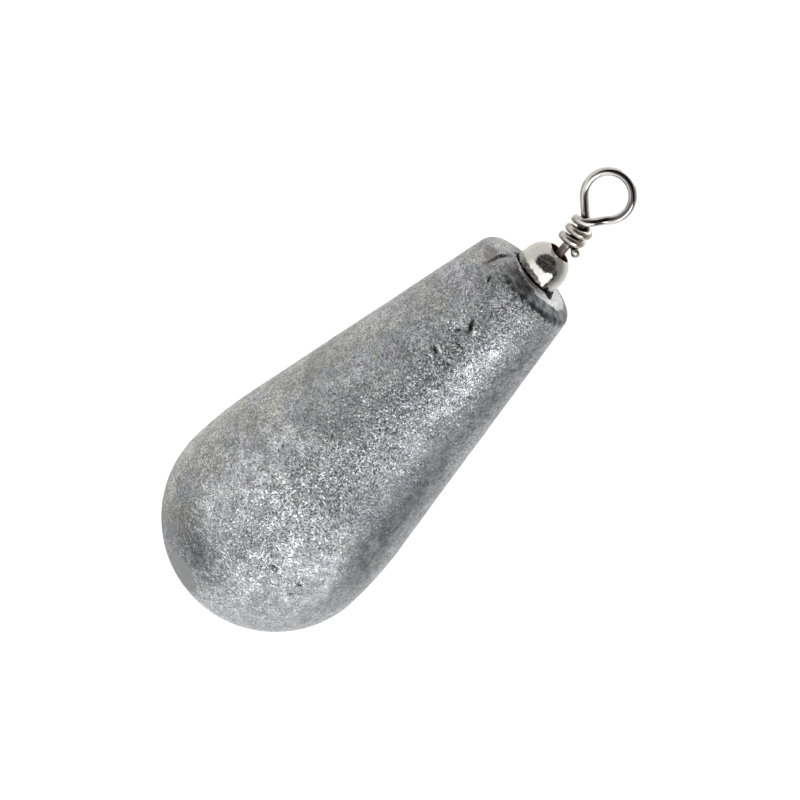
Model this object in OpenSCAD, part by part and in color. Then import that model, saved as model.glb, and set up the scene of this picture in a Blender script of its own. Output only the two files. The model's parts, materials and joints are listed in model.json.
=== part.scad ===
// A pear-shaped casting sinker with a barrel swivel cast into its top.
// It hangs as in use: +Z is up, and the origin is the centre of the line eye's loop.
// The front, where the line eye's wire crosses over itself, faces -Y.

/* [Lead] */
// Greatest diameter of the lead, round its belly
belly_d = 20.5; // [18:0.1:24]
// Height of the lead from its round bottom to the rim round the swivel
lead_h = 43.4; // [38:0.1:47]
// Radius of the long curve from the belly into the flank
flank_curve_r = 36.3; // [30:0.5:42]
// Slope of the straight flank to the sinker's axis, in degrees
flank_slope = 10; // [8:0.5:11]
// Radius of the rounded shoulder
shoulder_r = 1.4; // [0.8:0.1:2.4]
// Slope of the top face, rising towards the swivel, in degrees
top_slope = 13; // [6:1:18]
// Depth of the flat where the casting gate was clipped off the shoulder
gate_depth = 0.25; // [0.1:0.05:0.4]
// Tilt of that flat from level, in degrees
gate_tilt = 26; // [22:1:44]
// Turn of that flat from the right towards the back, in degrees
gate_turn = 0; // [-60:5:90]

/* [Swivel barrel] */
// Outer diameter of the barrel
barrel_d = 4.4; // [4.2:0.1:4.8]
// Length of the barrel between the centres of its two round ends
barrel_straight = 3; // [2.6:0.1:4]
// Thickness of the barrel's wall
barrel_wall = 0.45; // [0.35:0.05:0.5]
// Diameter of the mouth in each end
mouth_d = 2; // [1.8:0.05:2.2]
// Height of the upper round end's centre above the lead's rim
barrel_stand = 0.9; // [0.7:0.05:1.3]
// Sideways place of the barrel's upper end, as it was cast
barrel_shift = 0.2; // [0:0.05:0.3]
// Lean of the barrel to the right, as it was cast, in degrees
barrel_lean = 3; // [0:0.5:4]
// Bevel round the edge of each mouth
lip_bevel = 0.1; // [0.05:0.01:0.15]
// Width of the gap that the lead left round the barrel as it shrank
shrink_gap = 0.1; // [0.05:0.01:0.2]
// Depth of that gap below the rim
shrink_depth = 0.4; // [0.2:0.05:0.8]

/* [Wire eyes] */
// Diameter of the wire
wire_d = 0.77; // [0.7:0.01:0.82]
// Diameter of the head that holds each wire in the barrel
head_d = 2.6; // [2.5:0.02:2.64]
// Distance from a head's centre down to its flat end
head_base = 0.9; // [0.7:0.05:1.2]
// Inner width of a loop
loop_w = 3.44; // [3.2:0.02:3.7]
// Inner height of a loop
loop_h = 3.56; // [3.4:0.02:3.9]
// Distance from a head's centre to its loop's centre
loop_reach = 8.4; // [8:0.05:9]
// Distance from a loop's centre down to where its wire crosses over
cross_drop = 2.95; // [2.85:0.01:3.1]
// Turns that the wire takes from the right of its stem to its cut end
wrap_turns = 2.92; // [2.9:0.01:3.2]
// Distance between two turns along the stem
wrap_pitch = 0.92; // [0.9:0.01:1.05]
// Gap between the stem and the turns round it
wrap_gap = 0.06; // [0.05:0.01:0.12]
// Length of the straight cut end
tail = 0.8; // [0.3:0.05:0.9]
// Lean of the line eye to the left, in degrees
eye_lean = 6; // [0:0.2:8]
// Sideways place of the line eye's head in the barrel
eye_shift = 0.3; // [0:0.02:0.32]

/* [Hidden] */
$fn = 96;

// What the cuts run past the face that they leave
overrun = 0.5;
// Clearance between a head and the edge of its mouth
head_clear = 0.06;

// The lead's outline
belly_r = belly_d / 2;
curve_at = [belly_r - flank_curve_r, belly_r];
flank_out = [cos(flank_slope), sin(flank_slope)];
curve_end = curve_at + flank_curve_r * flank_out;
top_out = [sin(top_slope), cos(top_slope)];
barrel_r = barrel_d / 2;
rim_at = [barrel_r + shrink_gap, lead_h];
// The shoulder's centre lies one shoulder radius inside both the flank and the top face
flank_reach = flank_out * curve_end - shoulder_r;
top_reach = top_out * rim_at - shoulder_r;
shoulder_det = flank_out.x * top_out.y - flank_out.y * top_out.x;
shoulder_at = [
    (top_out.y * flank_reach - flank_out.y * top_reach) / shoulder_det,
    (flank_out.x * top_reach - top_out.x * flank_reach) / shoulder_det
];
lead_peak = lead_h + rim_at.x * tan(top_slope);
gate_out = [sin(gate_tilt), cos(gate_tilt)];
gate_reach = gate_out * shoulder_at + shoulder_r - gate_depth;

// The barrel's hollow and the seats of the two heads in it
mouth_r = mouth_d / 2;
hollow_r = barrel_r - barrel_wall;
mouth_rise = sqrt(pow(barrel_r, 2) - pow(mouth_r, 2));
lip_rise = sqrt(pow(hollow_r, 2) - pow(mouth_r, 2));
head_r = head_d / 2;
function seat(shift) = lip_rise - sqrt(pow(head_r + head_clear, 2) - pow(mouth_r - shift, 2));

// Places on the lead, measured from the middle of its round bottom
barrel_at = [barrel_shift, 0, lead_h + barrel_stand];
function leaned(v, a) = [v.x * cos(a) + v.z * sin(a), v.y, v.z * cos(a) - v.x * sin(a)];
eye_at = barrel_at + leaned([eye_shift, 0, seat(eye_shift)], barrel_lean);
anchor_depth = barrel_straight + seat(0);
loop_at = eye_at + leaned([0, 0, loop_reach], -eye_lean);

// A wire eye's route, with its head at zero and its stem going up
wire_r = wire_d / 2;
loop_a = (loop_w + wire_d) / 2;
loop_b = (loop_h + wire_d) / 2;
// Angle between the stem and the leg that comes down from the loop's left, in degrees
leg_angle = 43;
leg_bend_r = wire_d;
leg_reach = norm([loop_a * cos(leg_angle), loop_b * sin(leg_angle)]);
leg_top = [-pow(loop_a, 2) * cos(leg_angle), 0, -pow(loop_b, 2) * sin(leg_angle)] / leg_reach
    + [0, 0, loop_reach];
leg_foot = loop_reach - leg_reach / sin(leg_angle);
stem_len = leg_foot - leg_bend_r * tan(leg_angle / 2);
loop_start = atan2(-loop_b * sin(leg_angle), -loop_a * cos(leg_angle)) + 360;
// Where the loop lets go of the leg that crosses over, in degrees
loop_end = -48;
wrap_r = wire_d + wrap_gap;
// Extra height of the crossing over the turns below it
cross_lift_share = 0.35;
cross_lift = wire_d * cross_lift_share;
// How far the first turn swings left, round the bent leg
first_swing_share = 0.1;
first_swing = wire_d * first_swing_share;
cross_at = 90;
wrap_top = loop_reach - cross_drop + wrap_pitch / 4 - cross_lift;
wrap_end = wrap_turns * 360;

function unit(v) = v / norm(v);
function ease(u) = u * u * (3 - 2 * u);
function loop_point(a) = [loop_a * cos(a), 0, loop_reach + loop_b * sin(a)];
function wrap_point(a) =
    let (
        lift = max(0, (180 - a) / (180 - cross_at)),
        swing = ease(max(0, (360 - a) / (360 - cross_at)))
    )
    [
        wrap_r * cos(a) - first_swing * swing,
        -wrap_r * sin(a),
        wrap_top - wrap_pitch * a / 360 + cross_lift * lift * lift
    ];
// The way the wire runs there, per radian
loop_way = [loop_a * sin(loop_end), 0, -loop_b * cos(loop_end)];
cross_way = [-wrap_r, 0, -wrap_pitch / (2 * PI) - cross_lift * 4 / PI];
function joined(p, p_way, q, q_way, u) =
    let (reach = norm(q - p))
    p * (1 - ease(u)) + q * ease(u)
    + unit(p_way) * reach * u * pow(1 - u, 2) - unit(q_way) * reach * pow(u, 2) * (1 - u);

// Points for one turn of the winding, for the loop and for each short stretch
function steps_from(first, last, count) = [for (i = [1:count]) first + (last - first) * i / count];
function wire_route(turn_steps) =
    let (
        short_steps = turn_steps / 3,
        bend_end = [-leg_bend_r * (1 - cos(leg_angle)), 0, stem_len + leg_bend_r * sin(leg_angle)],
        wrap_steps = round(turn_steps * (wrap_turns - cross_at / 360)),
        cross_point = wrap_point(cross_at),
        tail_from = wrap_point(wrap_end),
        tail_way = unit([-wrap_r * sin(wrap_end), -wrap_r * cos(wrap_end), -wrap_pitch / (2 * PI)])
    )
    concat(
        [[0, 0, stem_len - wire_d], [0, 0, stem_len]],
        [for (a = steps_from(0, leg_angle, short_steps))
            [-leg_bend_r * (1 - cos(a)), 0, stem_len + leg_bend_r * sin(a)]],
        [for (u = steps_from(0, 1, 3)) bend_end * (1 - u) + leg_top * u],
        [for (a = steps_from(loop_start, loop_end, turn_steps * 3 / 2)) loop_point(a)],
        [for (u = steps_from(0, 1, short_steps))
            joined(loop_point(loop_end), loop_way, cross_point, cross_way, u)],
        [for (a = steps_from(cross_at, wrap_end, wrap_steps)) wrap_point(a)],
        [for (u = steps_from(0, 1, 2)) tail_from + tail_way * tail * u]
    );

// A ring's sides keep the same turn along the wire by carrying one side's direction along
function across(way, side) = unit(side - way * (side * way));
function ways(route) = [for (i = [0:len(route) - 1])
    unit(route[min(i + 1, len(route) - 1)] - route[max(i - 1, 0)])];
function sides(way) = [for (
    i = 0, side = across(way[0], [1, 0, 0]);
    i < len(way);
    i = i + 1, side = i < len(way) ? across(way[i], side) : side
) side];

// The wound part starts this share of the wire's thickness inside the round stem
wound_share = 0.995;

module wound_wire(turn_steps, facets) {
    route = wire_route(turn_steps);
    way = ways(route);
    side = sides(way);
    last = len(route) - 1;
    points = [for (i = [0:last]) for (k = [0:facets - 1])
        let (a = 360 * k / facets)
        route[i] + wound_share * wire_r * (side[i] * cos(a) + cross(way[i], side[i]) * sin(a))];
    wall = [for (i = [0:last - 1]) for (k = [0:facets - 1])
        let (a = i * facets + k, b = i * facets + (k + 1) % facets)
        each [[a, a + facets, b], [b, a + facets, b + facets]]];
    caps = [for (k = [1:facets - 2])
        each [[0, k, k + 1], [last * facets, last * facets + k + 1, last * facets + k]]];
    polyhedron(points, concat(wall, caps));
}

// The least gap of the wire to itself, from each point to the stretches that lie further along
// the wire than this many radii of the winding
far_share = 2.5;
function stretch_gap(p, a, b) =
    let (u = max(0, min(1, (p - a) * (b - a) / pow(norm(b - a), 2)))) norm(p - a - (b - a) * u);
route_checked = concat(
    [for (z = steps_from(0, stem_len - wire_d, 24)) [0, 0, z]],
    wire_route(24)
);
function run(route) = [for (
    i = 0, s = 0;
    i < len(route);
    i = i + 1, s = i < len(route) ? s + norm(route[i] - route[i - 1]) : s
) s];
run_checked = run(route_checked);
wire_gap = min([for (i = [0:len(route_checked) - 1]) for (j = [1:len(route_checked) - 1])
    if (run_checked[j - 1] > run_checked[i] + wrap_r * far_share)
    stretch_gap(route_checked[i], route_checked[j - 1], route_checked[j])]) - wire_d;
echo(least_gap_of_the_wire_to_itself = wire_gap);

module on_lead() { translate(-loop_at) children(); }
module at_barrel() { on_lead() translate(barrel_at) rotate([0, barrel_lean, 0]) children(); }
module at_line_eye() { on_lead() translate(eye_at) rotate([0, -eye_lean, 0]) children(); }
module at_anchor() { at_barrel() mirror([0, 0, 1]) translate([0, 0, anchor_depth]) children(); }

module half_disc(r) {
    intersection() {
        circle(r);
        translate([0, -r]) square([r, 2 * r]);
    }
}

// A pill's outline: two round ends and the straight between them
module pill(r) {
    intersection() {
        half_disc(r);
        square([r, r]);
    }
    translate([0, -barrel_straight]) square([r, barrel_straight]);
    translate([0, -barrel_straight]) intersection() {
        half_disc(r);
        translate([0, -r]) square([r, r]);
    }
}

module lead_outline() {
    intersection() {
        translate([0, belly_r]) circle(belly_r, $fn = 192);
        square([belly_r, belly_r]);
    }
    intersection() {
        translate(curve_at) circle(flank_curve_r, $fn = 720);
        translate([0, belly_r]) square([belly_r, curve_end.y - belly_r]);
    }
    polygon([
        [0, curve_end.y],
        curve_end,
        shoulder_at + shoulder_r * flank_out,
        shoulder_at,
        shoulder_at + shoulder_r * top_out,
        [0, lead_peak]
    ]);
    translate(shoulder_at) intersection() {
        circle(shoulder_r);
        polygon([[0, 0], flank_out, flank_out + top_out, top_out] * (shoulder_r + overrun));
    }
}

module wire_stem() { cylinder(h = stem_len, r = wire_r); }

module wire_head() {
    rotate_extrude() intersection() {
        half_disc(head_r);
        translate([0, -head_base]) square([head_r, head_base + head_r]);
    }
}

module gate_cut() {
    rotate([0, 0, gate_turn]) rotate([0, gate_tilt, 0])
        translate([-belly_r, -belly_r, gate_reach]) cube(belly_d);
}

module lead_body() {
    color([0.5, 0.51, 0.53]) difference() {
        on_lead() difference() {
            rotate_extrude($fn = 192) lead_outline();
            gate_cut();
        }
        at_barrel() rotate_extrude() pill(barrel_r);
        at_barrel() translate([0, 0, -barrel_stand - shrink_depth])
            cylinder(h = barrel_d, r = barrel_r + shrink_gap);
        at_anchor() wire_stem();
        at_anchor() wound_wire(12, 8);
    }
}

module swivel_barrel() {
    color([0.8, 0.79, 0.75]) at_barrel() rotate_extrude() difference() {
        pill(barrel_r);
        pill(hollow_r);
        translate([0, -barrel_straight - barrel_r]) square([mouth_r, barrel_straight + barrel_d]);
        mouth_bevel();
        translate([0, -barrel_straight]) mirror([0, 1]) mouth_bevel();
    }
}

// The bevel widens the mouth towards the outside, to a cone of 90 degrees
module mouth_bevel() {
    polygon([
        [0, mouth_rise - lip_bevel],
        [mouth_r, mouth_rise - lip_bevel],
        [mouth_r + lip_bevel + overrun, mouth_rise + overrun],
        [0, mouth_rise + overrun]
    ]);
}

module anchor_eye() {
    color([0.66, 0.63, 0.6]) at_anchor() {
        wire_head();
        wire_stem();
        wound_wire(12, 8);
    }
}

module line_eye() {
    color([0.74, 0.72, 0.69]) at_line_eye() {
        wire_head();
        wire_stem();
        wound_wire(24, 12);
    }
}

lead_body();
swivel_barrel();
anchor_eye();
line_eye();
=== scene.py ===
"""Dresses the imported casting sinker: rough cast lead, a plated barrel swivel and two wire eyes.

Sizes are in millimetres until a mesh is finished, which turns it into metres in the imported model's
own frame: +Z is up, the origin is the middle of the line eye's loop, and the front faces -Y.
"""

from __future__ import annotations

import json
import logging
import math
import random
from dataclasses import dataclass, field
from enum import Enum

import bmesh
import bpy
from mathutils import Matrix, Vector, noise

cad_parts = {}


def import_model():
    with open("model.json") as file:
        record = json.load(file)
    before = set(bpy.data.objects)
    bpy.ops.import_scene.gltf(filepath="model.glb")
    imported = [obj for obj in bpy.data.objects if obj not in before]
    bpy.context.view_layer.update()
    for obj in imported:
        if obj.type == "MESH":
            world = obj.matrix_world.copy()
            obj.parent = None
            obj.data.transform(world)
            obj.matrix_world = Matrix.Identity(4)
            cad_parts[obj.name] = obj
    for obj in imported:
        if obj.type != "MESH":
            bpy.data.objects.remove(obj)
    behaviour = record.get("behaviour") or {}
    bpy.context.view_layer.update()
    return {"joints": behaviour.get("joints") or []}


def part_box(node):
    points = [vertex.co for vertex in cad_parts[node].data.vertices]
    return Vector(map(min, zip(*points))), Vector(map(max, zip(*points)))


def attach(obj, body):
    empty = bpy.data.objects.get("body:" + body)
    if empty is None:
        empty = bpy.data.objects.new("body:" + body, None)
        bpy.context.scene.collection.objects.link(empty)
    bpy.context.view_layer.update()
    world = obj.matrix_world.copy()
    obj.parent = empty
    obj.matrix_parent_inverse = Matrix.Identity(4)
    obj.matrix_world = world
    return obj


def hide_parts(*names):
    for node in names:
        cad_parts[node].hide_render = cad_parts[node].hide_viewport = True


MM = 0.001
WELD = 1e-4
AIM_HEIGHT = 22.2
SPOT_FALL = 1.4
SPOT_EDGE = 5.0
SPOT_REACH = 4.0
MARK_HOLLOW = "hollow"
MARK_RUBBED = "rubbed"
# Marks how far painted light and shade lighten or darken the lead.
MARK_PAINTED_LIGHT = "painted_light"
# Marks where a dark reflection line is painted along the wire's front.
MARK_PAINTED_REFLECTION = "painted_reflection_streak"
MARK_CUT = "cut"
UP = Vector((0, 0, 1))
log = logging.getLogger("sinker")

Outline = list[tuple[float, float]]
Colour = tuple[float, float, float, float]
Socket = bpy.types.NodeSocket


class Body(Enum):
    """The bodies that pieces ride on."""

    WEIGHT = "weight"
    EYE = "eye"


class Slot(Enum):
    """The record's material slots."""

    CAST_LEAD = "cast_lead"
    PLATED_BARREL = "plated_barrel"
    WIRE = "wire"


def smooth_step(value: float, low: float, high: float) -> float:
    """Gives 0 below low, 1 above high and an eased share between them."""
    share = min(1.0, max(0.0, (value - low) / (high - low)))
    return share * share * (3 - 2 * share)


def arc(
    centre: tuple[float, float], radius: float, first: float, last: float, step: float
) -> Outline:
    """Walks an arc of an outline.

    Args:
        centre: The arc's centre, as distance from the axis and height.
        radius: The arc's radius.
        first: The angle that it starts at, in degrees above level.
        last: The angle that it ends at.
        step: The spacing of its points along the arc.

    Returns:
        The points from first to last, both among them.
    """
    count = max(2, round(math.radians(abs(last - first)) * radius / step))
    angles = [math.radians(first + (last - first) * i / count) for i in range(count + 1)]
    return [(centre[0] + radius * math.cos(a), centre[1] + radius * math.sin(a)) for a in angles]


def straight(start: tuple[float, float], end: tuple[float, float], step: float) -> Outline:
    """Walks a straight stretch of an outline.

    Args:
        start: The point that it leaves, as distance from the axis and height.
        end: The point that it reaches.
        step: The spacing of its points.

    Returns:
        The points between start and end, without those two.
    """
    count = max(1, round(math.dist(start, end) / step))
    return [
        (start[0] + (end[0] - start[0]) * i / count, start[1] + (end[1] - start[1]) * i / count)
        for i in range(1, count)
    ]


def lathe(mesh: bmesh.types.BMesh, outline: Outline, steps: int) -> list[bmesh.types.BMVert]:
    """Spins an outline round +Z into a closed skin.

    Args:
        mesh: The mesh that takes the skin.
        outline: Points as distance from the axis and height.
        steps: The number of faces round the axis.

    Returns:
        The skin's vertices.
    """
    before = set(mesh.verts)
    chain = [mesh.verts.new((radius, 0, height)) for radius, height in outline]
    edges = [mesh.edges.new(pair) for pair in zip(chain, chain[1:])]
    bmesh.ops.spin(
        mesh, geom=chain + edges, cent=(0, 0, 0), axis=UP,
        angle=math.tau, steps=steps, use_merge=True,
    )
    made = [v for v in mesh.verts if v not in before]
    bmesh.ops.remove_doubles(mesh, verts=made, dist=WELD)
    return [v for v in mesh.verts if v not in before]


def finish_mesh(mesh: bmesh.types.BMesh, name: str, place: Matrix) -> bpy.types.Object:
    """Turns a mesh in millimetres into a smooth piece in metres.

    Args:
        mesh: The mesh, which is freed.
        name: The piece's name.
        place: Where the mesh goes in the part's frame, in millimetres.

    Returns:
        The piece, with its place in its mesh.
    """
    bmesh.ops.recalc_face_normals(mesh, faces=mesh.faces[:])
    for face in mesh.faces:
        face.smooth = True
    if place.determinant() < 0:
        bmesh.ops.reverse_faces(mesh, faces=mesh.faces[:])
    data = bpy.data.meshes.new(name)
    mesh.to_mesh(data)
    mesh.free()
    data.transform(Matrix.Scale(MM, 4) @ place)
    piece = bpy.data.objects.new(name, data)
    bpy.context.scene.collection.objects.link(piece)
    return piece


def hand_over(piece: bpy.types.Object, body: Body, slot: Slot, *nodes: str) -> None:
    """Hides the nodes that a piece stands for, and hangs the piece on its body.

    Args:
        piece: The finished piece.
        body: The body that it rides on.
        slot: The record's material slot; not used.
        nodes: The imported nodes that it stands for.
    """
    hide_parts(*nodes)
    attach(piece, body.value)
    log.info("%s: %d faces, rides on %s", piece.name, len(piece.data.polygons), body.value)


class NodeGraph:
    """A node tree that grows by short calls."""

    def __init__(self, tree: bpy.types.NodeTree) -> None:
        """Takes over an empty or default tree."""
        self.tree = tree
        self.tree.nodes.clear()

    def node(
        self, kind: str, inputs: dict[str | int, object] | None = None, **settings: object
    ) -> bpy.types.Node:
        """Adds a node.

        Args:
            kind: The node's type without "ShaderNode".
            inputs: A value or another node's socket for each input that is set.
            settings: The node's own settings.

        Returns:
            The new node.
        """
        made = self.tree.nodes.new("ShaderNode" + kind)
        for name, value in settings.items():
            setattr(made, name, value)
        for name, value in (inputs or {}).items():
            if isinstance(value, bpy.types.NodeSocket):
                self.tree.links.new(value, made.inputs[name])
            else:
                made.inputs[name].default_value = value
        return made

    def maths(self, operation: str, *values: object) -> Socket:
        """Adds a Math node and gives its result."""
        return self.node("Math", dict(enumerate(values)), operation=operation).outputs[0]

    def vector(self, operation: str, *values: object) -> bpy.types.Node:
        """Adds a Vector Math node of two or three vectors."""
        return self.node("VectorMath", dict(enumerate(values)), operation=operation)

    def ramp(
        self, value: Socket, low: float, high: float, start: float = 0.0, end: float = 1.0
    ) -> Socket:
        """Maps low..high to start..end smoothly, and holds the ends."""
        inputs = {"Value": value, "From Min": low, "From Max": high, "To Min": start, "To Max": end}
        return self.node("MapRange", inputs, interpolation_type="SMOOTHSTEP").outputs["Result"]

    def blend(self, share: object, first: object, second: object) -> Socket:
        """Mixes two colours, or sockets of colours."""
        return self.node("Mix", {0: share, 6: first, 7: second}, data_type="RGBA").outputs[2]

    def between(self, share: object, first: object, second: object) -> Socket:
        """Mixes two numbers, or sockets of numbers."""
        return self.node("Mix", {0: share, 2: first, 3: second}, data_type="FLOAT").outputs[0]

    def scaled(self, value: Socket, share: object) -> Socket:
        """Multiplies a colour or vector by one number."""
        return self.node("VectorMath", {0: value, "Scale": share}, operation="SCALE").outputs[0]

    def length(self, value: Socket) -> Socket:
        """Gives the length of a vector."""
        return self.node("VectorMath", {0: value}, operation="LENGTH").outputs["Value"]

    def mark(self, name: str) -> Socket:
        """Reads a mark that the piece's mesh carries."""
        return self.node("Attribute", attribute_name=name).outputs["Fac"]

    def bump(self, strength: float, depth: float, height: Socket, **inputs: Socket) -> Socket:
        """Adds a Bump node, whose depth is in millimetres."""
        settings = {"Strength": strength, "Distance": depth * MM, "Height": height, **inputs}
        return self.node("Bump", settings).outputs[0]

    def clouds(
        self, where: Socket, scale: float, detail: float = 2.0, distortion: float = 0.0
    ) -> bpy.types.Node:
        """Adds soft noise, whose scale is in waves per unit of its coordinates."""
        inputs = {"Vector": where, "Scale": scale, "Detail": detail, "Distortion": distortion}
        return self.node("TexNoise", inputs)

    def millimetres(self, centre: tuple[float, float, float] = (0, 0, 0)) -> Socket:
        """Gives the piece's own coordinates in millimetres.

        Args:
            centre: The point that they are measured from, in millimetres.

        Returns:
            The socket of the place.
        """
        place = self.node("TexCoord").outputs["Object"]
        inputs = {"Vector": place, "Location": tuple(-c for c in centre), "Scale": (1 / MM,) * 3}
        return self.node("Mapping", inputs).outputs[0]


def new_material(name: str) -> tuple[bpy.types.Material, NodeGraph]:
    """Makes an empty node material.

    Args:
        name: The material's name.

    Returns:
        The material and its graph.
    """
    material = bpy.data.materials.new(name)
    material.use_nodes = True
    return material, NodeGraph(material.node_tree)


def grey(level: float, warmth: float = 0.0) -> Colour:
    """Gives a grey of a linear level, warmed or cooled by a small share."""
    return (level * (1 + warmth), level, level * (1 - warmth), 1)


@dataclass(frozen=True)
class CastLeadFinish:
    """Dull grey cast lead: crystal flakes on the flank and a darker, smoother skin round the top,
    whose darkness is partly a painted reflection.

    The single numbers before the colours are greys, from the flakes' painted lit and shaded sides
    to the bottom of a nick, painted near black as shade. The scales are in waves, grains or flakes
    per millimetre.
    """

    # light and dark are the flakes' painted lit and shaded sides.
    light: float = 0.72
    dark: float = 0.26
    # collar and skin darken the top: a smoother cast skin, partly a painted dark reflection.
    collar: float = 0.176
    # lip is a painted highlight along the edge round the barrel.
    lip: float = 0.62
    pressed: float = 0.43
    burr: float = 0.8
    # Nick bottoms are painted near black as shade.
    pit_shade: float = 0.02
    skin: Colour = (0.06, 0.056, 0.056, 1)
    rubbed: Colour = (0.25, 0.234, 0.237, 1)
    # A dark spot painted as shade on the top beside the barrel's foot.
    painted_shade_spot: Colour = (0.07, 0.07, 0.075, 1)
    cool: tuple[float, float, float] = (1.0, 0.985, 1.06)
    warm: tuple[float, float, float] = (1.02, 1.005, 0.945)
    painted_shade_r: float = 0.57
    patches_per_mm: float = 0.2
    spots_per_mm: float = 0.85
    mottle_per_mm: float = 1.5
    grit_per_mm: float = 6.0
    grains_per_mm: float = 0.9
    flakes_per_mm: float = 9.5
    flake_length: float = 1.7
    flake_tilt: float = 0.5
    # The fixed way that the flakes' painted glints face.
    lit_from: tuple[float, float, float] = (0.2, 0.55, 0.35)
    relief: float = 0.05
    metallic: float = 0.95

    def make(self, lead: CastLead) -> bpy.types.Material:
        """Builds the material.

        Args:
            lead: The lead, for the place of its axis and its top.

        Returns:
            The material.
        """
        material, g = new_material("cast_lead")
        where = g.millimetres(tuple(lead.foot))
        patches = g.clouds(where, self.patches_per_mm, 3, 0.5).outputs[0]
        spots = g.clouds(where, self.spots_per_mm, 3, 0.6).outputs[0]
        mottle = g.clouds(where, self.mottle_per_mm, 5, 0.25).outputs[0]
        collar, lip = self.top_marks(g, where, lead)
        hollow, rub = g.mark(MARK_HOLLOW), g.mark(MARK_RUBBED)
        rubbed = g.ramp(rub, 0.25, 0.55)

        flake, strokes = self.flakes(g, where)
        # Each flake is painted lighter or darker by how its tilt faces that way: painted glints and
        # shade.
        painted_glint = g.vector("DOT_PRODUCT", flake, self.lit_from).outputs["Value"]
        tone = g.maths("MULTIPLY", g.ramp(patches, 0.36, 0.64, 0.5, 1.0), g.ramp(painted_glint, -0.5, 0.75))
        tone = g.maths("ADD", tone, g.ramp(strokes, 0.35, 0.68, -0.12, 0.22))
        tone = g.maths("ADD", tone, g.ramp(spots, 0.35, 0.7, -0.1, 0.16))
        base = g.blend(tone, grey(self.dark, -0.02), grey(self.light, -0.01))
        # Soft patches of painted light and shade lighten and darken the flank.
        base = self.with_painted_light(g, where, self.tinted(g, where, base))
        base = g.blend(g.ramp(hollow, -0.02, -0.09, 0.0, 0.7), base, grey(self.burr))
        # The dark top: smoother skin whose darkness is partly a painted reflection.
        skin = g.blend(g.ramp(mottle, 0.38, 0.62), self.skin, grey(self.collar, -0.03))
        base = g.blend(collar, base, skin)
        # The lip round the barrel, painted pale as a highlight.
        rim = g.blend(g.ramp(strokes, 0.4, 0.65), grey(self.lip * 0.7), grey(self.lip * 1.2))
        base = g.blend(lip, base, rim)
        base = g.blend(g.maths("MULTIPLY", rubbed, 0.8), base, grey(self.pressed))
        worn = g.maths("MULTIPLY", g.ramp(rub, 0.6, 0.95), g.ramp(mottle, 0.34, 0.5, 0.45, 1.0))
        base = g.blend(worn, base, self.rubbed)
        # The spot of painted shade beside the barrel's foot.
        from_shade_spot = g.vector("DISTANCE", where, tuple(lead.painted_shade_spot)).outputs["Value"]
        from_shade_spot = g.maths("ADD", from_shade_spot, g.ramp(mottle, 0.3, 0.7, -0.08, 0.08))
        base = g.blend(g.ramp(from_shade_spot, self.painted_shade_r + 0.05, self.painted_shade_r - 0.05), base, self.painted_shade_spot)
        # Nick bottoms painted near black as shade.
        base = g.blend(g.ramp(hollow, 0.05, 0.15, 0.0, 0.9), base, grey(self.pit_shade))

        smooth = g.maths(
            "MAXIMUM", g.maths("MULTIPLY", collar, 0.86), g.maths("MULTIPLY", rubbed, 0.9)
        )
        smooth = g.maths("MAXIMUM", smooth, g.ramp(hollow, -0.02, -0.09, 0.0, 0.5))
        coarse = g.maths("SUBTRACT", 1.0, smooth)
        coarse = g.maths("MULTIPLY", coarse, g.ramp(patches, 0.66, 0.5, 0.6, 1.0))
        tilt = g.scaled(flake, g.maths("MULTIPLY", coarse, self.flake_tilt))
        surface = g.node("NewGeometry").outputs["Normal"]
        facing = g.vector("NORMALIZE", g.vector("ADD", surface, tilt).outputs[0]).outputs[0]
        grit = g.maths("ADD", g.clouds(where, self.grit_per_mm, 3, 0.3).outputs[0], strokes)
        shader = g.node("BsdfPrincipled", {
            "Base Color": base,
            "Metallic": self.metallic,
            "Roughness": g.between(smooth, g.ramp(spots, 0.3, 0.7, 0.42, 0.32), 0.36),
            "Normal": g.bump(0.6, self.relief, grit, Normal=facing),
        })
        g.node("OutputMaterial", {"Surface": shader.outputs[0]})
        return material

    def with_painted_light(self, g: NodeGraph, where: Socket, base: Socket) -> Socket:
        """Paints light and shade into the grey: lightens and darkens it in soft spots, in a ragged
        way.

        Args:
            g: The graph that takes the nodes.
            where: The place in millimetres.
            base: The plain colour.

        Returns:
            The colour with its bloom.
        """
        ragged = g.ramp(g.clouds(where, 1.1, 4, 0.3).outputs[0], 0.35, 0.65, 0.45, 1.55)
        doublings = g.maths("MULTIPLY", g.mark(MARK_PAINTED_LIGHT), ragged)
        return g.scaled(base, g.maths("POWER", 2.0, doublings))

    def tinted(self, g: NodeGraph, where: Socket, base: Socket) -> Socket:
        """Tints the grey: warm where it tarnished at the left, and bluish in patches elsewhere.

        Args:
            g: The graph that takes the nodes.
            where: The place in millimetres.
            base: The untinted colour.

        Returns:
            The tinted colour.
        """
        side, front, height = g.node("SeparateXYZ", {0: where}).outputs
        turn = g.maths("ARCTAN2", side, g.maths("MULTIPLY", front, -1.0))
        soft = g.clouds(where, 0.35, 3, 0.4).outputs[0]
        spread = g.maths("ABSOLUTE", g.maths("ADD", turn, 1.7))
        spread = g.maths("ADD", spread, g.ramp(soft, 0.3, 0.7, -0.35, 0.35))
        left = g.ramp(spread, 1.05, 0.55)
        cool = g.maths("MULTIPLY", g.ramp(soft, 0.48, 0.66), g.ramp(height, 6.0, 16.0, 0.5, 1.0))
        cooled = g.vector("MULTIPLY", base, self.cool).outputs[0]
        base = g.blend(g.maths("MULTIPLY", cool, 0.9), base, cooled)
        return g.blend(left, base, g.vector("MULTIPLY", base, self.warm).outputs[0])

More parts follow.
